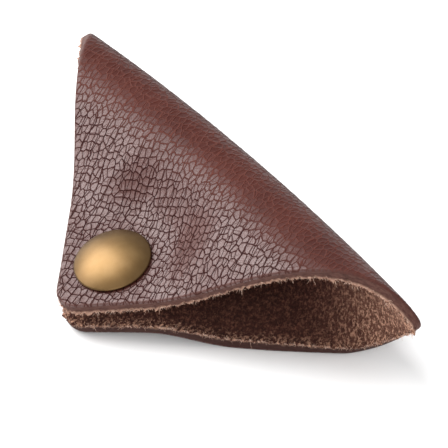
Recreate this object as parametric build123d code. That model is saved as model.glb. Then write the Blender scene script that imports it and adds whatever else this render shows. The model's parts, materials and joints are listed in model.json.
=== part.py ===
from build123d import *
import os
from math import atan2, cos, degrees, hypot, sin, sqrt

# Leather keeper: one square of leather, folded on its diagonal into a tapering loop and closed by a
# press snap. It is drawn in the sheet's own frame first: X from the snap towards the fold, Y along the
# fold towards the narrow end, Z across the plane midway between the two halves. Then it is laid down
# on its belly and its snap corner, which is how it rests. All sizes are in millimetres.

# Leather
side = 77.0              # of the square before folding
leather = 2.2            # thickness
corner_radius = 5.0      # of the two corners that the snap joins

# Fold
crown_radius = 8.9       # roundness along the outermost line of the loop
taper_reach = 225.0      # from the loop's middle to where it would taper to nothing
run_out = 3.5            # over which the hollow bend eases into the flat flap
flat_round_snap = 0.5    # flat leather between the end of the bend and the socket's edge

# Press snap
snap_inset = 14.6        # from the square's corner to the snap's centre
metal = 0.35             # thickness of the stamped brass
cap_radius = 7.5
cap_height = 2.6
rim_radius = 0.5         # roll of the cap's edge
lip_width = 1.9          # how far the cap's edge turns in under the plate
plate_thickness = 0.4
tube_radius = 1.7        # of both hollow posts
tube_bore = 1.2
flare_thickness = 0.25
socket_radius = 5.75
socket_height = 2.5
cup_radius = 4.8
wire_radius = 0.35       # of the spring ring
ring_gap = 40.0          # opening of the spring ring, in degrees
head_radius = 2.85       # of the stud's button
neck_step = 0.3          # how much slimmer the button's neck is
neck_height = 1.5
button_height = 2.05
stud_radius = 5.25
stud_flange = 0.45
eyelet_radius = 4.8      # of the back post's flat head
eyelet_head = 0.6

# Clearances
closed_gap = 0.35        # between the socket's mouth and the stud's flange
post_fit = 0.05          # round each post, in the leather and in the snap pieces
button_clear = 0.35      # between the button and the spring ring
ring_clear = 0.05        # round the wire in its groove
cavity_clear = 0.1       # round the flared end of the back post
plate_clear = 0.12       # between the plate's edge and the inside of the dome
seat_clear = 0.05        # round the cap where its rim dents the leather

half = side / sqrt(2)
snap_run = half - snap_inset
flap_start = snap_run - socket_radius - flat_round_snap
hollow_at = flap_start - run_out
layer_gap = socket_height + closed_gap + stud_flange
layer_spacing = layer_gap + leather
dome_rise = cap_height - rim_radius
dome_radius = (cap_radius**2 + dome_rise**2) / (2 * dome_rise)
rungs = 12
steps = 20 * rungs


def bend(run, crown_reach, hollow):
    """Curvature of the sheet at a run from the fold's outermost line: round, easing to a hollow, then flat."""
    crown = 1 / crown_radius
    if run < crown_reach:
        return crown
    if run < hollow_at:
        return crown - (crown + hollow) * (run - crown_reach) / (hollow_at - crown_reach)
    return -hollow * (flap_start - run) / run_out


def walk(crown_reach, hollow):
    """Stations round half the loop, each the direction along the sheet and the one across its thickness."""
    along, inward = Vector(0, -1, 0), Vector(-1, 0, 0)
    angle = flap_start / taper_reach / steps
    stations = [(along, inward)]
    for i in range(steps):
        turn = taper_reach * bend((i + 0.5) * flap_start / steps, crown_reach, hollow)
        roll = along * turn + inward
        axis = Axis((0, 0, 0), roll)
        along = along.rotate(axis, degrees(angle * roll.length))
        inward = inward.rotate(axis, degrees(angle * roll.length))
        stations.append((along, inward))
    return stations


def misfit(crown_reach, hollow):
    """How far the flap is from lying level at half the layer spacing."""
    inward = walk(crown_reach, hollow)[-1][1]
    return inward.X * taper_reach, inward.Y / inward.Z * taper_reach - layer_spacing / 2


def close_loop():
    """The crown's reach and the hollow's curvature that bring the two flaps together on the snap."""
    reach, hollow, nudge = 0.38 * flap_start, 0.09, 1e-4
    for _ in range(12):
        level, height = misfit(reach, hollow)
        by_reach = [(b - a) / nudge for a, b in zip((level, height), misfit(reach + nudge, hollow))]
        by_hollow = [(b - a) / nudge for a, b in zip((level, height), misfit(reach, hollow + nudge))]
        scale = by_reach[0] * by_hollow[1] - by_reach[1] * by_hollow[0]
        reach -= (level * by_hollow[1] - height * by_hollow[0]) / scale
        hollow -= (height * by_reach[0] - level * by_reach[1]) / scale
    return reach, hollow


crown_reach, hollow = close_loop()
stations = walk(crown_reach, hollow)
taper_point = Vector(0, taper_reach, 0)
flap_angle = flap_start / taper_reach
flap_along, flap_inward = stations[-1]
flap_across = flap_inward.cross(flap_along)


def on_flap(run, side_run):
    """Point of the flap's middle surface, from its place on the flat square."""
    away = taper_reach - side_run
    angle = atan2(run, away) - flap_angle
    return taper_point + (flap_along * cos(angle) + flap_across * sin(angle)) * hypot(run, away)


def rung_ends(angle, along):
    """Where a straight line of the loop meets the square's two cut edges: narrow end, mouth."""
    narrow = (taper_reach - half) / (cos(angle) - sin(angle))
    mouth = (taper_reach + half) / (cos(angle) + sin(angle))
    return taper_point + along * narrow, taper_point + along * mouth


def rung(i):
    """Section through the leather along one straight line of the loop."""
    along, inward = stations[i * steps // rungs]
    narrow, mouth = rung_ends(flap_angle * i / rungs, along)
    skin = inward * (leather / 2)
    return make_face(Polyline(narrow - skin, mouth - skin, mouth + skin, narrow + skin, close=True))


def turned(*outline):
    """Round piece from its half section, given as (radius, height) points and ready edges."""
    return revolve(Plane.XZ * make_face(Polyline(*outline, close=True)), axis=Axis.Z)


def leather_half():
    """Half of the panel: its half of the loop and its flap, with the hole for the post."""
    loop = loft([rung(i) for i in range(rungs + 1)])
    narrow, mouth = rung_ends(flap_angle, flap_along)
    corner = on_flap(half, 0)
    outline = make_face(Polyline(narrow, mouth, corner, close=True)).face()
    outline = outline.fillet_2d(corner_radius, outline.vertices().sort_by_distance(corner)[:1])
    flap = extrude(outline, amount=leather / 2, dir=flap_inward, both=True)
    return loop + flap - upper_seat.location * Cylinder(tube_radius + post_fit, 4 * leather)


# Both seats have their origin on the flesh face at the snap's centre, with Z towards the grain side.
seat_origin = on_flap(snap_run, 0) + flap_inward * (leather / 2)
upper_seat = Plane(seat_origin, x_dir=(1, 0, 0), z_dir=-flap_inward)
lower_seat = Plane(
    (seat_origin.X, seat_origin.Y, -seat_origin.Z),
    x_dir=(1, 0, 0),
    z_dir=(-flap_inward.X, -flap_inward.Y, flap_inward.Z),
)


def inside_dome(height):
    """Radius of the cap's hollow at a height above the leather."""
    return sqrt((dome_radius - metal) ** 2 - (dome_radius - cap_height + height) ** 2)


def cap_shell():
    """Domed cap with a rolled rim whose lip turns in under the plate."""
    top = leather + cap_height
    foot = top - dome_radius
    floor = leather + metal
    knee = inside_dome(metal)
    lip = cap_radius - lip_width
    middle = 0.5 * cap_radius
    section = [
        Line((lip, leather), (cap_radius - rim_radius, leather)),
        ThreePointArc(
            (cap_radius - rim_radius, leather),
            (cap_radius - rim_radius * (1 - sqrt(0.5)), leather + rim_radius * (1 - sqrt(0.5))),
            (cap_radius, leather + rim_radius),
        ),
        ThreePointArc(
            (cap_radius, leather + rim_radius),
            (middle, foot + sqrt(dome_radius**2 - middle**2)),
            (0, top),
        ),
        Line((0, top), (0, top - metal)),
        ThreePointArc(
            (0, top - metal),
            (middle, foot + sqrt((dome_radius - metal) ** 2 - middle**2)),
            (knee, floor),
        ),
        Line((knee, floor), (lip, floor)),
        Line((lip, floor), (lip, leather)),
    ]
    return revolve(Plane.XZ * make_face(section), axis=Axis.Z)


def cap_post():
    """Plate inside the cap, with the hollow post through the leather flared under the socket's top."""
    plate = leather + metal
    plate_radius = inside_dome(metal + plate_thickness) - plate_clear
    flare = -metal
    return turned(
        (tube_bore, plate + plate_thickness),
        (plate_radius, plate + plate_thickness),
        (plate_radius, plate),
        (tube_radius, plate),
        (tube_radius, flare),
        (tube_radius + 0.8, flare),
        (tube_radius + 0.8, flare - flare_thickness),
        (tube_bore, flare - flare_thickness),
    )


pocket_radius = head_radius + button_clear + ring_clear
groove_radius = pocket_radius + 2 * wire_radius + 2 * ring_clear
groove_middle = -socket_height + closed_gap + wire_radius + 0.25


def socket():
    """Stamped socket under the upper flap, with a pocket for the button and a groove for the ring."""
    reach = wire_radius + ring_clear
    return turned(
        (tube_radius + post_fit, 0),
        (socket_radius, 0),
        (socket_radius, -2 * metal),
        (cup_radius, -2 * metal),
        (cup_radius, -socket_height),
        (pocket_radius, -socket_height),
        (pocket_radius, groove_middle - reach),
        (groove_radius, groove_middle - reach),
        (groove_radius, groove_middle + reach),
        (pocket_radius, groove_middle + reach),
        (pocket_radius, -metal),
        (tube_radius + post_fit, -metal),
    )


def spring_ring():
    """Open wire ring that grips the button's neck."""
    middle = head_radius + button_clear + wire_radius
    wire = Plane.XZ * Pos(middle, groove_middle) * Circle(wire_radius)
    return revolve(wire, axis=Axis.Z, revolution_arc=360 - ring_gap)


def stud():
    """Stud on the lower flap: a flange and a hollow button with a slimmer neck."""
    neck = head_radius - neck_step
    cavity = neck - metal
    return turned(
        (tube_radius + post_fit, 0),
        (stud_radius, 0),
        (stud_radius, -stud_flange),
        (neck, -stud_flange),
        (neck, -stud_flange - neck_height + neck_step),
        (head_radius, -stud_flange - neck_height),
        (head_radius, -stud_flange - button_height + neck_step),
        (neck, -stud_flange - button_height),
        (0, -stud_flange - button_height),
        (0, -stud_flange - button_height + metal),
        (cavity, -stud_flange - button_height + metal),
        (cavity, -stud_flange),
        (tube_radius + post_fit, -stud_flange),
    )


def back_post():
    """Eyelet under the lower flap: flat head outside, hollow post flared inside the button."""
    flare = -stud_flange
    flare_radius = head_radius - neck_step - metal - cavity_clear
    return turned(
        (0, leather + eyelet_head),
        (eyelet_radius - 0.4 * eyelet_head, leather + eyelet_head),
        (eyelet_radius, leather + 0.6 * eyelet_head),
        (eyelet_radius, leather),
        (tube_radius, leather),
        (tube_radius, flare),
        (flare_radius, flare),
        (flare_radius, flare - flare_thickness),
        (tube_bore, flare - flare_thickness),
        (tube_bore, leather + metal),
        (0, leather + metal),
    )


def rest_plane():
    """The floor in the sheet's frame: it touches the lower belly along a straight line and the corner."""
    corner = on_flap(half - (sqrt(2) - 1) * corner_radius, 0)
    foot = Vector(corner.X, corner.Y, -corner.Z) + lower_seat.z_dir * (leather / 2)
    below = [Vector(-n.X, -n.Y, n.Z) for _, n in stations]
    lows = [(foot - taper_point).dot(n) - leather / 2 for n in below]
    i = next(k for k in range(steps) if lows[k] <= 0 < lows[k + 1])
    share = lows[i] / (lows[i] - lows[i + 1])
    down = (below[i] * (1 - share) + below[i + 1] * share).normalized()
    up = -down
    fold = Vector(0, 1, 0)
    return Plane(foot, x_dir=(fold - up * fold.dot(up)).cross(up), z_dir=up)


upper_leather = leather_half() - upper_seat.location * Pos(0, 0, leather + cap_height / 2) * Cylinder(
    cap_radius + seat_clear, cap_height
)
pieces = {
    "lower_leather": mirror(leather_half(), about=Plane.XY),
    "upper_leather": upper_leather,
    "cap_shell": upper_seat.location * cap_shell(),
    "cap_post": upper_seat.location * cap_post(),
    "socket": upper_seat.location * socket(),
    "spring_ring": upper_seat.location * spring_ring(),
    "stud": lower_seat.location * stud(),
    "back_post": lower_seat.location * back_post(),
}

floor = rest_plane()
laid = {name: floor.to_local_coords(piece) for name, piece in pieces.items()}
box = Compound(list(laid.values())).bounding_box()
centre = Vector(box.center().X, box.center().Y, box.min.Z)


def in_row(point):
    """A point of the sheet's frame, in the frame of the finished part."""
    return floor.to_local_coords(Vector(point)) - centre


os.makedirs("parts", exist_ok=True)
for name, piece in laid.items():
    export_step(Pos(-centre.X, -centre.Y, -centre.Z) * piece, f"parts/{name}.step")

hinge = in_row((leather / 2, 0, 0))
print("crown reach", round(crown_reach, 3), "hollow radius", round(1 / hollow, 3))
print("box", box.size)
print("hinge point", hinge, "axis", in_row((leather / 2, 1, 0)) - hinge)
head = lower_seat.origin + lower_seat.z_dir * (leather + eyelet_head)
print("back post's face", in_row(head), "outward", in_row(head + lower_seat.z_dir) - in_row(head))
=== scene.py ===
import json
import math
import random
import bmesh
import bpy
import numpy as np
from mathutils import Matrix, Vector, noise


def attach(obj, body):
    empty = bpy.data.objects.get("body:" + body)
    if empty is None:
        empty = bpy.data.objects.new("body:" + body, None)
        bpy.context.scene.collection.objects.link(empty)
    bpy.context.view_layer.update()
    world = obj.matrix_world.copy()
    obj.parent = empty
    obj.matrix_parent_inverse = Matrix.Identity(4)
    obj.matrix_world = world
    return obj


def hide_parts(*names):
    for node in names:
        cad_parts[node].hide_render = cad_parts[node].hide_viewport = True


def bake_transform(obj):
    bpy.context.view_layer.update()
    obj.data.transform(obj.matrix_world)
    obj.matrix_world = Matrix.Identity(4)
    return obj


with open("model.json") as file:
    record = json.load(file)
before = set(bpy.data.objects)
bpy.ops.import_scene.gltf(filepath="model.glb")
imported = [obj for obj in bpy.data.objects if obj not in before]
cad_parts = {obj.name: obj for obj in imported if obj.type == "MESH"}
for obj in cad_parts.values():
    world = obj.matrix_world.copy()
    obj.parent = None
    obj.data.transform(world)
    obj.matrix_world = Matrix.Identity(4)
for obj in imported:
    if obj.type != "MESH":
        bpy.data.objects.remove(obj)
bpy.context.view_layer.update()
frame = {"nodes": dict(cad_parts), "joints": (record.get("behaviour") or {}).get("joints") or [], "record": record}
mm = 0.001
scene = bpy.context.scene

# camera, at the angle the case is shown from
cameraSet = {
    "azimuth": -31.96, "elevation": 44.5, "roll": -5.3, "distance": 0.9, "lens": 383.1,
    "aim": (0.01307, -0.00224, 0.00514),
}


def makeCamera():
    azimuth, elevation, roll = (math.radians(cameraSet[k]) for k in ("azimuth", "elevation", "roll"))
    back = Vector((
        math.sin(azimuth) * math.cos(elevation), -math.cos(azimuth) * math.cos(elevation), math.sin(elevation),
    ))
    level = Vector((0, 0, 1)).cross(back).normalized()
    right = level * math.cos(roll) + back.cross(level) * math.sin(roll)
    turn = Matrix((right, back.cross(right), back)).transposed().to_4x4()
    data = bpy.data.cameras.new("camera")
    data.lens, data.sensor_width = cameraSet["lens"], 36
    data.clip_start, data.clip_end = 0.01, 20
    camera = bpy.data.objects.new("camera", data)
    camera.matrix_world = Matrix.Translation(Vector(cameraSet["aim"]) + back * cameraSet["distance"]) @ turn
    scene.collection.objects.link(camera)
    scene.camera = camera


makeCamera()
print("camera set")


# material maths: a socket that adds, multiplies and compares like a number
class Wire:
    def __init__(self, tree, socket):
        self.tree, self.socket = tree, socket

    def maths(self, operation, *values):
        node = self.tree.nodes.new("ShaderNodeMath")
        node.operation = operation
        for slot, value in zip(node.inputs, values):
            join(self.tree, slot, value)
        return Wire(self.tree, node.outputs[0])

    def __add__(self, other): return self.maths("ADD", self, other)
    def __radd__(self, other): return self.maths("ADD", other, self)
    def __sub__(self, other): return self.maths("SUBTRACT", self, other)
    def __rsub__(self, other): return self.maths("SUBTRACT", other, self)
    def __mul__(self, other): return self.maths("MULTIPLY", self, other)
    def __rmul__(self, other): return self.maths("MULTIPLY", other, self)
    def __truediv__(self, other): return self.maths("DIVIDE", self, other)

    def size(self): return self.maths("ABSOLUTE", self)
    def folded(self, by): return self.maths("PINGPONG", self, by)
    def low(self, other): return self.maths("MINIMUM", self, other)
    def high(self, other): return self.maths("MAXIMUM", self, other)

    def ramp(self, start, end):
        # 0 before start, 1 after end, smooth between
        node = self.tree.nodes.new("ShaderNodeMapRange")
        node.interpolation_type = "SMOOTHSTEP"
        for name, value in (("Value", self), ("From Min", start), ("From Max", end)):
            join(self.tree, node.inputs[name], value)
        return Wire(self.tree, node.outputs[0])


def join(tree, slot, value):
    if isinstance(value, Wire):
        tree.links.new(value.socket, slot)
    else:
        slot.default_value = value


class Nodes:
    def node(self, kind, settings=(), inputs=(), output=0):
        made = self.tree.nodes.new(kind)
        for name, value in dict(settings).items():
            setattr(made, name, value)
        for name, value in dict(inputs).items():
            join(self.tree, made.inputs[name], value)
        return Wire(self.tree, made.outputs[output])

    def noise(self, place, scale, detail=2.0, rough=0.5, output=0):
        return self.node("ShaderNodeTexNoise", {}, {
            "Vector": place, "Scale": scale, "Detail": detail, "Roughness": rough}, output)

    def vector(self, operation, *values, output=0, **inputs):
        inputs.update(enumerate(values))
        return self.node("ShaderNodeVectorMath", {"operation": operation}, inputs, output)

    def shift(self, place, by, amount):
        # moves a pattern's place sideways by a colour noise, so that its cells lose their straight sides
        offset = self.vector("SCALE", self.vector("SUBTRACT", by, (0.5, 0.5, 0.5)), Scale=amount)
        return self.vector("ADD", place, offset)

    def turned(self, place, degrees, stretch):
        turn = self.node("ShaderNodeVectorRotate", {"rotation_type": "Z_AXIS"}, {
            "Vector": place, "Angle": -math.radians(degrees)})
        return self.vector("MULTIPLY", turn, stretch)

    def part(self, place, axis):
        return self.node("ShaderNodeSeparateXYZ", {}, {0: place}, output=axis)

    def cells(self, place, scale, even=1.0):
        # distance to the nearest border between cells
        return self.node("ShaderNodeTexVoronoi", {"feature": "DISTANCE_TO_EDGE", "voronoi_dimensions": "2D"}, {
            "Vector": place, "Scale": scale, "Randomness": even})


class Paint(Nodes):
    def __init__(self, name):
        self.material = bpy.data.materials.new(name)
        self.material.use_nodes = True
        self.tree = self.material.node_tree
        self.shader = self.tree.nodes["Principled BSDF"]

    def attribute(self, name, output="Vector"):
        return self.node("ShaderNodeAttribute", {"attribute_name": name}, output=output)

    def objectPlace(self):
        # in millimetres
        place = self.node("ShaderNodeTexCoord", output="Object")
        return self.vector("SCALE", place, Scale=1000)

    def mix(self, share, first, second):
        made = self.tree.nodes.new("ShaderNodeMix")
        made.data_type = "RGBA"
        for slot, value in ((0, share), (6, first), (7, second)):
            if not isinstance(value, Wire) and slot > 0:
                value = (*value, 1)
            join(self.tree, made.inputs[slot], value)
        return Wire(self.tree, made.outputs[2])

    def bump(self, height, distance, strength=1.0, under=None):
        inputs = {"Height": height, "Distance": distance, "Strength": strength}
        if under is not None:
            inputs["Normal"] = under
        return self.node("ShaderNodeBump", {}, inputs)

    def finish(self, **sockets):
        for name, value in sockets.items():
            slot = self.shader.inputs[name.replace("_", " ")]
            if isinstance(value, tuple) and slot.type == "RGBA":
                value = (*value, 1)
            join(self.tree, slot, value)
        return self.material


class Relief(Nodes):
    # geometry nodes that push a mesh along its normals
    def __init__(self, name):
        self.tree = bpy.data.node_groups.new(name, "GeometryNodeTree")
        self.tree.interface.new_socket("Geometry", in_out="INPUT", socket_type="NodeSocketGeometry")
        self.tree.interface.new_socket("Geometry", in_out="OUTPUT", socket_type="NodeSocketGeometry")

    def attribute(self, name, kind="FLOAT_VECTOR"):
        return self.node("GeometryNodeInputNamedAttribute", {"data_type": kind}, {"Name": name})

    def push(self, piece, height):
        given = self.node("NodeGroupInput")
        normal = self.node("GeometryNodeInputNormal")
        moved = self.node("GeometryNodeSetPosition", {}, {
            "Geometry": given, "Offset": self.vector("SCALE", normal, Scale=height)})
        join(self.tree, self.tree.nodes.new("NodeGroupOutput").inputs[0], moved)
        modifier = piece.modifiers.new("relief", "NODES")
        modifier.node_group = self.tree
        bpy.context.view_layer.update()
        shown = piece.evaluated_get(bpy.context.evaluated_depsgraph_get())
        co = np.empty(len(piece.data.vertices) * 3)
        shown.data.vertices.foreach_get("co", co)
        piece.modifiers.remove(modifier)
        piece.data.vertices.foreach_set("co", co)
        piece.data.update()


# the folded sheet: U runs from the fold to the snap corners, V along the fold, W across the thickness
leather = {
    "side": 77 * mm, "thickness": 2.2 * mm, "spacing": 5.5 * mm, "taperReach": 225 * mm, "loopEnd": 60 * mm,
    "snapCorner": 5 * mm, "tipCorner": 0.6 * mm, "mouthCorner": 2.2 * mm, "cells": 200, "rimRows": 5,
    "bow": 2.26 * mm,
    "crown": 0.1081 / mm, "shoulder": 0.1143 / mm, "hollowAt": 37.3 * mm, "flatAt": 40.8 * mm,
    "snapCrown": 1 / (8.9 * mm), "snapHollowAt": 30.1 * mm, "snapFlatAt": 33.6 * mm,
    "snapNear": 5 * mm, "snapFar": 16 * mm,
    "rimRings": (0, 0.09, 0.2, 0.34, 0.55, 0.85), "grainRound": 0.5 * mm, "fleshRound": 0.22 * mm,
    "ragged": 0.9 * mm, "raggedReach": 1.2 * mm, "slant": 1.0 * mm, "tipTrim": 0.55, "bendReach": 11 * mm,
    "sag": 1.4 * mm, "sagAt": 33 * mm, "sagWide": 9 * mm, "leafSpread": 1.3 * mm, "floorSoft": 0.35 * mm,
}
half = leather["side"] / math.sqrt(2)
joint = frame["joints"][0]
backRest = next(m for m in frame["record"]["mounts"] if m["name"] == "back_rest")
foldDir = Vector(joint["axis"]).normalized()
slope = Vector(backRest["axis"]).dot(foldDir)
tilt = math.asin(backRest["axis"][0] / math.sqrt(1 - slope * slope))
level = Vector((1, 0, 0))
upright = level.cross(foldDir)
toFold = level * math.cos(tilt) + upright * math.sin(tilt)
acrossPlane = upright * math.cos(tilt) - level * math.sin(tilt)
foldPoint = Vector(joint["pos_m"]) - toFold * (leather["thickness"] / 2)
sheetAxes = np.array([toFold, foldDir, acrossPlane])


def turnAbout(axis, angle, vector):
    return (
        vector * math.cos(angle) + np.cross(axis, vector) * math.sin(angle)
        + axis * np.dot(axis, vector) * (1 - math.cos(angle))
    )


def walkLoop(runs, curves, steps=240):
    # directions along the sheet and out of it, at even angles seen from the taper point
    along, outward = np.array([0, -1.0, 0]), np.array([1.0, 0, 0])
    angles = np.linspace(0, leather["loopEnd"] / leather["taperReach"], steps + 1)
    step = angles[1]
    table = [(along, outward)]
    for i in range(steps):
        bend = leather["taperReach"] * np.interp((i + 0.5) * step * leather["taperReach"], runs, curves)
        roll = along * bend - outward
        size = np.linalg.norm(roll)
        along, outward = (turnAbout(roll / size, step * size, d) for d in (along, outward))
        table.append((along, outward))
    return angles, np.array([t[0] for t in table]), np.array([t[1] for t in table])


def closeLoop(makeKnots, guess):
    # Newton steps to the crown's reach and the hollow's bend that lay the flap level at half the spacing
    def misfit(values):
        outward = walkLoop(*makeKnots(*values))[2][-1]
        return np.array([
            outward[0] * leather["taperReach"],
            outward[1] / outward[2] * leather["taperReach"] - leather["spacing"] / 2,
        ])
    values = np.array(guess)
    for _ in range(6):
        now = misfit(values)
        slopes = np.array([(misfit(values + nudge) - now) / sum(nudge) for nudge in np.diag(values * 1e-4)]).T
        values = values - np.linalg.solve(slopes, now)
    print("loop closed, reach and hollow", values)
    return walkLoop(*makeKnots(*values))


def looseKnots(reach, hollow):
    stops = [0, reach, leather["hollowAt"], leather["flatAt"], 1]
    return stops, [leather["crown"], leather["shoulder"], -hollow, 0, 0]


def snapKnots(reach, hollow):
    stops = [0, reach, leather["snapHollowAt"], leather["snapFlatAt"], 1]
    return stops, [leather["snapCrown"], leather["snapCrown"], -hollow, 0, 0]


looseLoop = closeLoop(looseKnots, (8.25 * mm, 0.0627 / mm))
snapLoop = closeLoop(snapKnots, (15 * mm, 0.096 / mm))


def smooth(values, start, end):
    share = np.clip((values - start) / (end - start), 0, 1)
    return share * share * (3 - 2 * share)


def bentPlaces(flat):
    # flat (u, v, w) rows to places in the row frame
    run, side, out = np.abs(flat[:, 0]), flat[:, 1], flat[:, 2]
    away = leather["taperReach"] - side
    angle, reach = np.arctan2(run, away), np.hypot(run, away)
    shapes = []
    for angles, along, outward in (snapLoop, looseLoop):
        line = np.stack([np.interp(angle, angles, along[:, i]) for i in range(3)], 1)
        skin = np.stack([np.interp(angle, angles, outward[:, i]) for i in range(3)], 1)
        shapes.append(line * reach[:, None] + skin * out[:, None] + [0, leather["taperReach"], 0])
    loose = smooth(np.abs(side), leather["snapNear"], leather["snapFar"])[:, None]
    place = shapes[0] * (1 - loose) + shapes[1] * loose
    place[:, 0] -= leather["bow"] * (side / half) ** 2
    place[:, 2] *= np.where(flat[:, 0] < 0, -1, 1)
    return place @ sheetAxes + np.array(foldPoint)


def roundedOutline(across, up):
    # slides grid points inwards at the corners: wide at the snap, tight at the tip, softer at the mouth
    corners = (leather["snapCorner"], 1, 0), (leather["tipCorner"], -1, 1), (leather["mouthCorner"], -1, -1)
    for radius, same, end in corners:
        edge = leather["side"] / 2 - radius
        inX, inY = np.abs(across) - edge, np.abs(up) - edge
        corner = (inX > 0) & (inY > 0) & (across * up * same > 0) & ((up - across) * end >= 0)
        scale = np.where(corner, np.maximum(inX, inY) / np.maximum(np.hypot(inX, inY), 1e-9), 1)
        across = np.where(corner, np.sign(across) * (edge + inX * scale), across)
        up = np.where(corner, np.sign(up) * (edge + inY * scale), up)
    return across, up


def raggedAt(u, v, w):
    return noise.noise((u * 1.3, v * 1.3, w)) + 0.6 * noise.noise((u * 3.1, v * 3.1, w))


def makePanel():
    bm = bmesh.new()
    cells = leather["cells"]
    bmesh.ops.create_grid(bm, x_segments=cells, y_segments=cells, size=leather["side"] / 2)
    bmesh.ops.solidify(bm, geom=bm.faces[:], thickness=leather["thickness"])
    rim = [e for e in bm.edges if abs(e.verts[0].co.z - e.verts[1].co.z) > leather["thickness"] / 2]
    bmesh.ops.subdivide_edges(bm, edges=rim, cuts=leather["rimRows"])
    bmesh.ops.recalc_face_normals(bm, faces=bm.faces[:])
    mesh = bpy.data.meshes.new("leatherPanel")
    bm.to_mesh(mesh)
    bm.free()
    co = np.empty(len(mesh.vertices) * 3)
    mesh.vertices.foreach_get("co", co)
    co = co.reshape(-1, 3)
    co[:, 2] -= (co[:, 2].max() + co[:, 2].min()) / 2
    thick, edge = leather["thickness"] / 2, leather["side"] / 2
    # the last rings of the grid crowd towards the cut edge, to round it
    rings = np.array(leather["rimRings"]) * mm
    cell = leather["side"] / cells
    for axis in (0, 1):
        ring = (edge - np.abs(co[:, axis])) / cell
        inner = rings[-1] + (ring - len(rings) + 1) * (edge - rings[-1]) / (cells / 2 - len(rings) + 1)
        away = np.where(ring < len(rings) - 1, np.interp(ring, range(len(rings)), rings), inner)
        co[:, axis] = np.sign(co[:, axis]) * (edge - away)
    away = edge - np.maximum(np.abs(co[:, 0]), np.abs(co[:, 1]))
    depth = thick - np.abs(co[:, 2])
    kinds = faceKinds(mesh, co[:, 2], thick)
    across, up = roundedOutline(co[:, 0], co[:, 1])
    u, v, w = (across + up) / math.sqrt(2), (up - across) / math.sqrt(2), co[:, 2]
    # roll the cut edge over: round on the grain side, tighter and ragged on the flesh side
    near = away < leather["raggedReach"]
    ragged = np.array([raggedAt(*spot) if close else 0 for *spot, close in zip(u / mm, v / mm, w / mm, near)])
    for side, radius in ((1, leather["grainRound"]), (-1, leather["fleshRound"])):
        here = w * side > 0
        nearFace = here & (depth < 1e-9) & (away < radius)
        rounded = thick - radius + np.sqrt(np.maximum(radius ** 2 - (radius - away) ** 2, 0))
        w = np.where(nearFace, side * rounded, w)
    rimSpan = -thick + leather["fleshRound"], thick - leather["grainRound"]
    w = np.where(depth > 1e-9, np.interp(w, (-thick, thick), rimSpan), w)
    fleshy = smooth(-w, -0.2 * mm, thick) * smooth(-away, -leather["raggedReach"], -0.1 * mm)
    fleshy = fleshy * (1 - smooth(v, 46 * mm, 51 * mm))
    # the lower leaf is trimmed at the narrow tip, to stay hidden under the upper one
    u = np.where(u < 0, u * (1 - leather["tipTrim"] * smooth(v, 44 * mm, 53 * mm)), u)
    grow = 1 + ragged * leather["ragged"] * fleshy / (half * 0.7)
    w = w - np.abs(ragged) * leather["ragged"] * fleshy * 0.6
    # near the narrow tip the upper edge was cut slantwise, so its flesh side shows
    slant = leather["slant"] * (thick - w) / (2 * thick) * smooth(-away, -2 * mm, 0)
    slant = slant * smooth(v, 34 * mm, 46 * mm) * (1 - smooth(v, 51 * mm, 54 * mm))
    slant = np.where(u > 0, slant, 0) * smooth(u, -0.5 * mm, 2 * mm)
    return mesh, np.stack([u * grow + slant * 0.7, v * grow + slant * 0.7, w], 1), away, kinds


def faceKinds(mesh, height, thick):
    # 0 grain, 1 flesh, 2 cut edge
    kinds = []
    for polygon in mesh.polygons:
        depth = [height[i] for i in polygon.vertices]
        flat = max(depth) - min(depth) < 1e-7
        kinds.append(2 if not flat else 0 if depth[0] > 0 else 1)
    return kinds


def settled(places, flat):
    # the lower half sags on to the floor and spreads a little; nothing goes under it
    u, v = flat[:, 0], flat[:, 1]
    skin = np.stack([u, v, np.full(len(u), leather["thickness"] / 2)], 1)
    low = bentPlaces(skin)[:, 2]
    front = smooth(-v, 3 * mm, 20 * mm)
    sag = leather["sag"] * np.exp(-((u + leather["sagAt"]) / leather["sagWide"]) ** 2) * front
    dropped = low - sag
    soft = leather["floorSoft"]
    onFloor = 0.5 * (dropped + np.sqrt(dropped ** 2 + soft ** 2))
    rise = np.where(u < 0, onFloor - low, 0) * smooth(-u, 0.0, 12 * mm)
    places[:, 2] += rise
    # the lower leaf's front edge spreads outwards, most at its middle
    along = (u - v) / math.sqrt(2)
    reach = smooth(-(u + v) / math.sqrt(2), 10 * mm, leather["side"] / 2)
    middle = np.clip(1 - (along / (leather["side"] / 2)) ** 2, 0, 1)
    spread = np.where(u < 0, leather["leafSpread"] * reach * middle * smooth(-u, 0.0, 10 * mm), 0)
    outward = -(sheetAxes[0] + sheetAxes[1]) / math.sqrt(2)
    outward = outward * [1, 1, 0]
    return places + spread[:, None] * outward


def shadeSmooth(mesh):
    mesh.polygons.foreach_set("use_smooth", [True] * len(mesh.polygons))


def newPiece(name, mesh, *materials):
    piece = bpy.data.objects.new(name, mesh)
    scene.collection.objects.link(piece)
    for material in materials:
        mesh.materials.append(material)
    return piece


# finishes
grainSet = {
    "warpScale": 0.45, "warp": 0.7,
    "firstTurn": -24, "firstStretch": (0.62, 0.88, 0.4), "firstCells": 0.95, "even": 0.72,
    "secondTurn": 42, "secondStretch": (0.42, 0.80, 0.4), "secondCells": 0.72,
    "longTurn": -22, "longApart": 2.2, "longWander": 1.7,
    "crease": 0.095, "round": 0.19, "height": 0.075 * mm, "longHeight": 0.02 * mm,
    "swell": 0.03 * mm, "bump": 0.13 * mm, "fineBump": 0.035 * mm,
    "brown": (0.044, 0.0074, 0.0046), "warmBrown": (0.059, 0.0115, 0.0074),
    # the fold brown is painted light: a lighter, redder base for the flat faces away from the fold
    "litFlatBrown": (0.082, 0.0205, 0.0145), "speckled": (0.12, 0.045, 0.035),
    # the crease brown is partly the leather's own darker crease colour and partly painted shade in the creases
    "creaseAndShadeBrown": (0.017, 0.0034, 0.0027), "stretchedBrown": (0.14, 0.048, 0.036),
    # the rim brown is a painted highlight along the grain's cut edge
    "rimHighlightBrown": (0.085, 0.037, 0.03),
}


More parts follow.
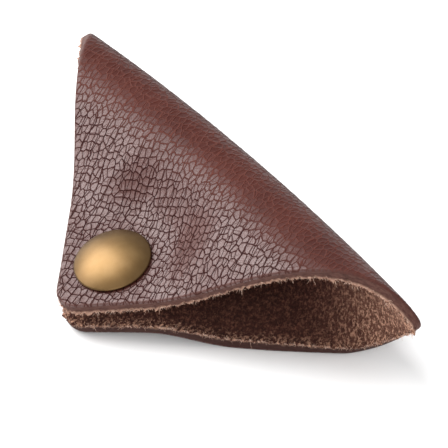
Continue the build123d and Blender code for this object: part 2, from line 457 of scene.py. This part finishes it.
def grainPattern(nodes, place):
    # pebbles between creases, and longer parallel creases; the finish and the mesh share it
    warp = nodes.noise(place, grainSet["warpScale"], 2, output="Color")
    warped = nodes.shift(place, warp, grainSet["warp"])
    first = nodes.turned(warped, grainSet["firstTurn"], grainSet["firstStretch"])
    first = nodes.cells(first, grainSet["firstCells"], grainSet["even"])
    second = nodes.turned(warped, grainSet["secondTurn"], grainSet["secondStretch"])
    second = nodes.cells(second, grainSet["secondCells"])
    strong = nodes.noise(place, 0.35, 1).ramp(0.2, 0.42)
    tops = first.ramp(0.0, grainSet["round"])
    fine = (1 - second.ramp(0.005, 0.05)) * (nodes.noise(place, 0.5, 1).ramp(0.3, 0.6) * 0.4 + 0.1)
    valleys = (1 - first.ramp(0.015, grainSet["crease"])).high(fine)
    wander = nodes.noise(nodes.turned(place, grainSet["longTurn"], (0.5, 1, 1)), 0.22, 2)
    across = nodes.part(nodes.turned(warped, grainSet["longTurn"], (1, 1, 1)), 1) / grainSet["longApart"]
    long = (across + wander * grainSet["longWander"]).folded(0.5)
    deep = (1 - long.ramp(0.015, 0.07)) * strong
    return tops, valleys, deep


def grainLeather():
    paint = Paint("grainLeather")
    place = paint.attribute("flatPlace")
    tops, valleys, deep = grainPattern(paint, place)
    away = paint.attribute("rimAway", "Fac")
    run = paint.part(place, 0).size()
    stretched = run.ramp(4, 8) * (1 - run.ramp(13, 21))
    tone = paint.noise(place, 0.11, 3)
    speckle = paint.noise(place, 5.5, 2, 0.7)
    base = paint.mix(tone.ramp(0.3, 0.7), grainSet["brown"], grainSet["warmBrown"])
    # painted light: the flat faces away from the fold get a lighter, redder base where they catch the sheen, and
    # the fold's band stays darker
    base = paint.mix(run.ramp(12, 22) * 0.6, base, grainSet["litFlatBrown"])
    base = paint.mix(speckle.ramp(0.45, 0.75) * 0.3, base, grainSet["speckled"])
    # the creases are painted dark: partly the leather's own darker crease colour, partly painted shade where the
    # creases fall into shade
    creasedAndShaded = paint.mix(stretched, grainSet["creaseAndShadeBrown"], grainSet["stretchedBrown"])
    creases = valleys.high(deep * 0.9)
    colour = paint.mix(creases * (0.95 - stretched * 0.45), base, creasedAndShaded)
    # painted highlight: the grain turns paler within a millimetre of the cut edge, standing in for the light on
    # the rounded edge
    colour = paint.mix((1 - away.ramp(0.1, 0.7)) * 0.5, colour, grainSet["rimHighlightBrown"])
    fine = paint.bump(speckle * 0.6 + paint.noise(place, 14, 1) * 0.4, grainSet["fineBump"])
    height = tops * 0.5 - valleys * 0.5 - deep * 0.7
    normal = paint.bump(height * away.ramp(0.1, 0.8), grainSet["bump"], 0.9, fine)
    # the sheen lies on the pebbles, not in the creases, and wears thin where the fold is stretched
    sheen = (1 - (creases * 1.7).low(1)) * (0.25 + tops * 0.75) * (0.34 + speckle.ramp(0.35, 0.65))
    sheen = sheen * (0.05 + run.ramp(9, 23) * 0.95)
    return paint.finish(
        Base_Color=colour, Roughness=0.45 + creases * 0.3, Normal=normal, Specular_IOR_Level=0.1,
        Coat_Weight=sheen, Coat_Roughness=0.42, Coat_IOR=1.5,
    )


suede = {
    "dark": (0.034, 0.0085, 0.0078), "brown": (0.066, 0.021, 0.016), "lit": (0.15, 0.066, 0.046),
    "tip": (0.19, 0.078, 0.052), "paleTip": (0.60, 0.34, 0.23), "pit": (0.022, 0.007, 0.006),
    "bump": 0.28 * mm, "fuzz": 0.4 * mm, "sheen": (0.6, 0.33, 0.24),
}


def suedeLeather():
    paint = Paint("suedeLeather")
    place = paint.attribute("flatPlace")
    clumps = paint.noise(place, 1.1, 3, 0.6)
    nap = paint.noise(paint.turned(place, 35, (1, 1.4, 1)), 1.25, 3, 0.85)
    pits = paint.noise(place, 2.1, 2, 0.7)
    away = paint.attribute("rimAway", "Fac") + (clumps - 0.5) * 3
    run = paint.part(place, 0).size()
    # painted light: the nap is paler round the mouth's end of the fold, where light gets in; the pale nap tips
    # spread there as well as along the cut edge
    mouthLight = (1 - paint.part(place, 1).ramp(-46, -22)) * (1 - run.ramp(6, 26))
    base = paint.mix(clumps.ramp(0.3, 0.7), suede["dark"], suede["brown"])
    base = paint.mix(mouthLight * 0.7, base, suede["lit"])
    tips = paint.mix((1 - away.ramp(0.2, 3.0)).high(mouthLight), suede["tip"], suede["paleTip"])
    colour = paint.mix(nap.ramp(0.47, 0.62), base, tips)
    colour = paint.mix(pits.ramp(0.52, 0.66) * 0.8, colour, suede["pit"])
    normal = paint.bump(nap + clumps * 0.7, suede["bump"])
    return paint.finish(
        Base_Color=colour, Roughness=0.95, Normal=normal, Specular_IOR_Level=0.15,
        Sheen_Weight=0.2, Sheen_Roughness=0.6, Sheen_Tint=suede["sheen"],
    )


# lower is a painted shadow on the lower leaf's cut edge
cutSet = {
    "core": (0.055, 0.021, 0.016), "paleCore": (0.105, 0.046, 0.036), "speck": (0.27, 0.15, 0.11),
    "flesh": (0.42, 0.25, 0.18), "lower": (0.018, 0.006, 0.005), "bump": 0.06 * mm,
}


def cutEdge():
    paint = Paint("cutEdge")
    place = paint.attribute("flatPlace")
    depth, run = paint.part(place, 2), paint.part(place, 0)
    streak = paint.noise(paint.vector("MULTIPLY", place, (0.5, 0.5, 2.0)), 1.6, 3, 0.6)
    specks = paint.noise(place, 4.5, 2, 0.7)
    base = paint.mix(streak.ramp(0.3, 0.7), cutSet["core"], cutSet["paleCore"])
    base = paint.mix(specks.ramp(0.6, 0.8) * 0.5, base, cutSet["speck"])
    colour = paint.mix((1 - depth.ramp(-0.95, -0.45)) * 0.8, base, cutSet["flesh"])
    # painted shadow: the lower leaf's cut edge, which faces the floor, is darkened as if in shadow
    colour = paint.mix((1 - run.ramp(-9, -2)) * 0.6, colour, cutSet["lower"])
    normal = paint.bump(streak * 0.5 + specks * 0.5, cutSet["bump"], 0.8)
    return paint.finish(Base_Color=colour, Roughness=0.6, Normal=normal, Specular_IOR_Level=0.15)


def frayedFibre():
    paint = Paint("frayedFibre")
    tone = paint.noise(paint.objectPlace(), 2.5, 1)
    colour = paint.mix(tone.ramp(0.3, 0.7), (0.40, 0.22, 0.16), (0.80, 0.57, 0.45))
    return paint.finish(Base_Color=colour, Roughness=0.85, Specular_IOR_Level=0.2)


# fleck and rim are shares of the dull colour: fleck marks the patina's darker flecks, rim is painted shade towards
# the cap's rim; rimStart and rimEnd are millimetres from the cap's crown
patinaAndRimShade = {"fleck": 0.55, "rim": (0.3, 0.24, 0.16), "rimStart": 4.5, "rimEnd": 7.7, "bump": 0.006 * mm}


def metalPaint(name, dull, bright, rough, lacquer=0.0, crown=None):
    paint = Paint(name)
    place = paint.objectPlace()
    cloud = paint.noise(place, 0.35, 3, 0.6)
    grainy = paint.noise(place, 9, 2, 0.7)
    colour = paint.mix(cloud.ramp(0.25, 0.75), dull, bright)
    colour = paint.mix(grainy.ramp(0.55, 0.8) * 0.25, colour, tuple(c * patinaAndRimShade["fleck"] for c in dull))
    if crown is not None:
        # painted shade: the colour darkens towards the cap's rim
        away = paint.vector("DISTANCE", place, tuple(crown / mm), output=1)
        rim = tuple(c * s for c, s in zip(dull, patinaAndRimShade["rim"]))
        colour = paint.mix(away.ramp(patinaAndRimShade["rimStart"], patinaAndRimShade["rimEnd"]) * 0.3, colour, rim)
    return paint.finish(
        Base_Color=colour, Metallic=1.0, Roughness=rough + (cloud - 0.5) * 0.12 + (grainy - 0.5) * 0.05,
        Normal=paint.bump(grainy, patinaAndRimShade["bump"], 0.6), Coat_Weight=lacquer, Coat_Roughness=0.4,
    )


antiqueBrass = metalPaint("antiqueBrass", (0.175, 0.108, 0.040), (0.215, 0.135, 0.056), 0.44, 0.35)
innerBrass = metalPaint("innerBrass", (0.33, 0.235, 0.115), (0.45, 0.33, 0.17), 0.34)
stampedBrass = metalPaint("stampedBrass", (0.5, 0.37, 0.16), (0.62, 0.47, 0.22), 0.3)
springSteel = metalPaint("springSteel", (0.5, 0.5, 0.5), (0.62, 0.62, 0.6), 0.25)

# the panel: laid flat, then bent
panelMesh, panelFlat, panelAway, panelKinds = makePanel()
panel = newPiece("leatherPanel", panelMesh, grainLeather(), suedeLeather(), cutEdge())
panelMesh.polygons.foreach_set("material_index", panelKinds)


def halfEach(piece, flat):
    # laid out flat, then moved to its bent and settled places
    piece.data.vertices.foreach_set("co", flat.ravel())
    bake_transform(piece)
    piece.data.vertices.foreach_set("co", settled(bentPlaces(flat), flat).ravel())
    piece.data.update()


halfEach(panel, panelFlat)
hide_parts("lower_leather", "upper_leather")
flatPlace = panelMesh.attributes.new("flatPlace", "FLOAT_VECTOR", "POINT")
flatPlace.data.foreach_set("vector", (panelFlat / mm).astype(np.float32).ravel())
rimAway = panelMesh.attributes.new("rimAway", "FLOAT", "POINT")
rimAway.data.foreach_set("value", (panelAway / mm).astype(np.float32))
shadeSmooth(panelMesh)


def panelRelief():
    nodes = Relief("panelRelief")
    place = nodes.attribute("flatPlace")
    away = nodes.attribute("rimAway", "FLOAT")
    tops, valleys, deep = grainPattern(nodes, place)
    depth = nodes.part(place, 2)
    onGrain = depth.ramp(0.9, 1.08) * away.ramp(0.3, 1.1)
    onFlesh = (1 - depth.ramp(-1.08, -0.9)) * away.ramp(0.1, 0.6)
    swell = nodes.noise(place, 0.14, 1) - 0.5
    pebble = (tops - 1) * grainSet["height"] - deep * grainSet["longHeight"] + swell * grainSet["swell"]
    fuzz = (nodes.noise(place, 0.9, 3, 0.7) - 0.5) * suede["fuzz"]
    nodes.push(panel, pebble * onGrain + fuzz * onFlesh)


def keepAboveFloor(mesh):
    co = np.empty(len(mesh.vertices) * 3)
    mesh.vertices.foreach_get("co", co)
    co[2::3] = np.maximum(co[2::3], 0)
    mesh.vertices.foreach_set("co", co)
    mesh.update()


panelRelief()
keepAboveFloor(panelMesh)
print("panel bent and grained", len(panelMesh.polygons), "faces")

# frayed fibres along the flesh side's cut edge
fray = {"count": 7000, "longest": 1.7 * mm, "thick": 0.05 * mm, "seed": 5}


def makeFray():
    random.seed(fray["seed"])
    curve = bpy.data.curves.new("edgeFray", "CURVE")
    curve.dimensions, curve.bevel_depth, curve.bevel_resolution, curve.resolution_u = "3D", fray["thick"], 0, 1
    edge, thick = leather["side"] / 2, leather["thickness"] / 2
    sides = (((1, 0), (0, 1)), ((0, 1), (1, 0)), ((-1, 0), (0, 1)), ((0, -1), (1, 0)))
    for i in range(fray["count"]):
        out, along = sides[i % 4]
        spot = random.uniform(-1, 1) * (edge - 0.4 * mm)
        clump = max(0, noise.noise((spot / mm * 0.8, i % 4 * 7, 0)) + 0.45) ** 1.6
        length = fray["longest"] * (0.16 + 0.84 * random.random() ** 2.5) * (0.3 + 0.9 * clump)
        lean, lift = random.gauss(0, 0.9), random.uniform(-1.0, 0.35)
        depth = -thick + random.uniform(0.0, 0.3) * mm
        start = edge - random.uniform(0.02, 0.22) * mm
        spline = curve.splines.new("POLY")
        spline.points.add(3)
        heading = Vector((random.uniform(0.1, 1.0), lean, lift)).normalized()
        at = Vector((start, spot, depth))
        curl = Vector((random.gauss(0, 0.35), random.gauss(0, 0.5), random.gauss(0, 0.35)))
        for k, point in enumerate(spline.points):
            across, up = (out[0] * at.x + along[0] * at.y), (out[1] * at.x + along[1] * at.y)
            point.co = (*onCorner(across, up), at.z, 1)
            point.radius = 1 - 0.26 * k
            heading = (heading + curl * 0.4).normalized()
            at = at + heading * length / 3
    piece = bpy.data.objects.new("frayCurve", curve)
    scene.collection.objects.link(piece)
    bpy.context.view_layer.update()
    mesh = bpy.data.meshes.new_from_object(piece.evaluated_get(bpy.context.evaluated_depsgraph_get()))
    bpy.data.objects.remove(piece)
    mesh.materials.clear()
    return mesh


def onCorner(across, up):
    across, up = roundedOutline(np.array([across]), np.array([up]))
    return (across[0] + up[0]) / math.sqrt(2), (up[0] - across[0]) / math.sqrt(2)


frayMesh = makeFray()
frayPiece = newPiece("edgeFray", frayMesh, frayedFibre())
frayFlat = np.empty(len(frayMesh.vertices) * 3)
frayMesh.vertices.foreach_get("co", frayFlat)
halfEach(frayPiece, frayFlat.reshape(-1, 3))
keepAboveFloor(frayMesh)
shadeSmooth(frayMesh)
print("edge frayed", len(frayMesh.polygons), "faces")

# press snap, turned on its two seats; outlines are (radius, height) in millimetres, and heights
# rise from the flesh face towards the grain side
snap = {"steps": 96, "backReach": 2.8}


def seat(mirrored):
    outward = Vector(backRest["axis"])
    origin = Vector(backRest["pos_m"]) - outward * snap["backReach"] * mm
    if mirrored:
        across = (origin - foldPoint).dot(acrossPlane)
        origin = origin - acrossPlane * 2 * across
        outward = outward - acrossPlane * 2 * outward.dot(acrossPlane)
    turn = outward.to_track_quat("Z", "Y").to_matrix().to_4x4()
    return Matrix.Translation(origin) @ turn


def arc(centre, radius, start, end, steps):
    turns = [math.radians(start + (end - start) * i / steps) for i in range(steps + 1)]
    return [(centre[0] + radius * math.cos(t), centre[1] + radius * math.sin(t)) for t in turns]


def lathe(name, outline, mirrored, material, soften=0.0):
    bm = bmesh.new()
    dots = [bm.verts.new((radius * mm, 0, height * mm)) for radius, height in outline]
    lines = [bm.edges.new((dots[i], dots[(i + 1) % len(dots)])) for i in range(len(dots))]
    bmesh.ops.spin(
        bm, geom=dots + lines, axis=(0, 0, 1), cent=(0, 0, 0), dvec=(0, 0, 0), angle=2 * math.pi,
        steps=snap["steps"], use_merge=True,
    )
    bmesh.ops.remove_doubles(bm, verts=bm.verts[:], dist=1e-6)
    bmesh.ops.dissolve_degenerate(bm, edges=bm.edges[:], dist=1e-7)
    bmesh.ops.recalc_face_normals(bm, faces=bm.faces[:])
    if soften:
        sharp = [e for e in bm.edges if len(e.link_faces) == 2 and e.calc_face_angle(0) > 0.7]
        bmesh.ops.bevel(
            bm, geom=sharp, offset=soften * mm, segments=3, profile=0.5, affect="EDGES", material=-1,
        )
    bmesh.ops.transform(bm, matrix=seat(mirrored), verts=bm.verts[:])
    mesh = bpy.data.meshes.new(name)
    bm.to_mesh(mesh)
    bm.free()
    shadeSmooth(mesh)
    return newPiece(name, mesh, material)


cap = {"radius": 7.5, "height": 2.6, "roll": 0.5, "lip": 1.9, "metal": 0.35, "face": 2.2}


def makeCap():
    face, rise = cap["face"], cap["height"] - cap["roll"]
    dome = (cap["radius"] ** 2 + rise ** 2) / (2 * rise)
    foot = face + cap["height"] - dome
    edge = math.degrees(math.asin((face + cap["roll"] - foot) / dome))
    inner = dome - cap["metal"]
    innerEdge = math.degrees(math.asin((face + cap["metal"] - foot) / inner))
    roll, lip = (cap["radius"] - cap["roll"], face + cap["roll"]), cap["radius"] - cap["lip"]
    outline = [(lip, face + cap["metal"]), (lip, face)]
    outline += arc(roll, cap["roll"], -90, 0, 6)[:-1]
    outline += arc((0, foot), dome, edge, 90, 26) + arc((0, foot), inner, 90, innerEdge, 20)
    return lathe("capDome", outline, True, capBrass)


def ride(piece, body, node):
    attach(piece, body)
    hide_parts(node)


crown = seat(True) @ Vector((0, 0, (cap["face"] + cap["height"]) * mm))
capBrass = metalPaint("capBrass", (0.165, 0.093, 0.031), (0.200, 0.119, 0.045), 0.46, 0.3, crown)
ride(makeCap(), "upper_flap", "cap_shell")
socket = {"soften": 0.12, "outline": [
    (1.75, 0), (5.75, 0), (5.75, -0.7), (4.8, -0.7), (4.8, -2.5), (3.25, -2.5), (3.25, -1.95), (4.05, -1.95),
    (4.05, -1.15), (3.25, -1.15), (3.25, -0.35), (1.75, -0.35),
]}
socketCup = lathe("socketCup", socket["outline"], True, innerBrass, socket["soften"])
ride(socketCup, "upper_flap", "socket")
stud = {"soften": 0.1, "outline": [
    (1.75, 0), (5.25, 0), (5.25, -0.45), (2.55, -0.45), (2.55, -1.65), (2.85, -1.95), (2.85, -2.2),
    (2.55, -2.5), (0, -2.5), (0, -2.15), (2.2, -2.15), (2.2, -0.45), (1.75, -0.45),
]}
studButton = lathe("studButton", stud["outline"], False, innerBrass, stud["soften"])
ride(studButton, "lower_half", "stud")
back = {"soften": 0.1, "outline": [
    (0, 2.8), (4.56, 2.8), (4.8, 2.56), (4.8, 2.2), (1.7, 2.2), (1.7, -0.45), (2.1, -0.45), (2.1, -0.7),
    (1.2, -0.7), (1.2, 2.55), (0, 2.55),
]}
backHead = lathe("backHead", back["outline"], False, antiqueBrass, back["soften"])
ride(backHead, "lower_half", "back_post")
for name, material in (("cap_post", stampedBrass), ("spring_ring", springSteel)):
    node = frame["nodes"][name]
    node.data.materials.clear()
    node.data.materials.append(material)
print("snap turned")


# floor, lights: each lamp's place, width, height and watts
stageSet = {"floor": (0.92, 0.92, 0.92), "floorRough": 0.9, "aim": (0, 0, 0.01), "world": 0.62}
lamps = {
    "backSoftbox": ((-0.25, 0.74, 0.58), 0.85, 0.45, 10.5),
    "highSoftbox": ((-0.1, 0.45, 0.92), 0.55, 0.4, 5.8),
    "frontSoftbox": ((-0.7, -0.6, 0.7), 0.8, 0.8, 4.5),
    "rimCard": ((0.6, -0.62, 0.3), 0.3, 0.16, 2.2),
}


def makeStage():
    bm = bmesh.new()
    bmesh.ops.create_grid(bm, x_segments=1, y_segments=1, size=3)
    mesh = bpy.data.meshes.new("floor")
    bm.to_mesh(mesh)
    bm.free()
    pale = Paint("paleFloor").finish(Base_Color=stageSet["floor"], Roughness=stageSet["floorRough"])
    floor = newPiece("floor", mesh, pale)


def areaLight(name, place, wide, tall, power):
    data = bpy.data.lights.new(name, "AREA")
    data.shape, data.size, data.size_y, data.energy = "RECTANGLE", wide, tall, power
    light = bpy.data.objects.new(name, data)
    light.location = place
    light.rotation_mode = "QUATERNION"
    light.rotation_quaternion = (Vector(place) - Vector(stageSet["aim"])).to_track_quat("Z", "Y")
    scene.collection.objects.link(light)


makeStage()
for name, lamp in lamps.items():
    areaLight(name, *lamp)
world = bpy.data.worlds.new("studio")
scene.world = world
world.use_nodes = True
backdrop = world.node_tree.nodes["Background"].inputs
backdrop["Color"].default_value = (1, 1, 1, 1)
backdrop["Strength"].default_value = stageSet["world"]
scene.view_settings.view_transform = "Standard"
print("stage set")
